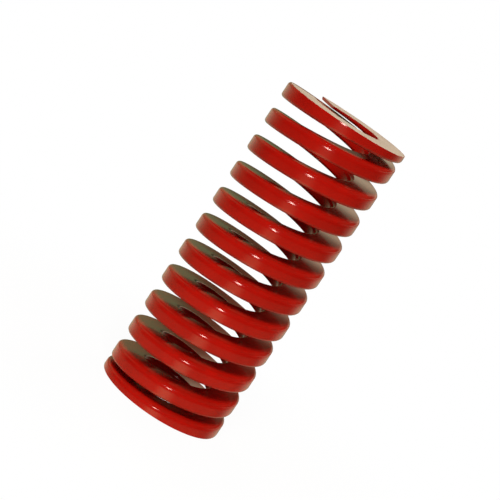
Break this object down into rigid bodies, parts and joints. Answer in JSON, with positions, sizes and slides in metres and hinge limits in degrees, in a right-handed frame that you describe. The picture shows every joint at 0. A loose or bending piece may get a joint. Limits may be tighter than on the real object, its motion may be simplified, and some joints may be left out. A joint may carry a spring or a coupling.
{
  "type": "die spring",
  "caption": "Heavy-load die spring: a right-hand coil of rectangular wire, red enamelled, with both ends closed and ground flat.",
  "frame": {"origin": "centre of the ground bottom end, on the coil's axis", "axes": "+Z along the coil's axis, from the ground bottom end to the ground top end; the wire climbs anticlockwise seen from +Z, and +X has no feature of its own"},
  "size_m": [0.0252, 0.0252, 0.0635],
  "materials": {
    "red_enamel": "glossy enamel over spring steel"
  },
  "bodies": {
    "root": {"spring_coil": "red_enamel"}
  },
  "joints": []
}
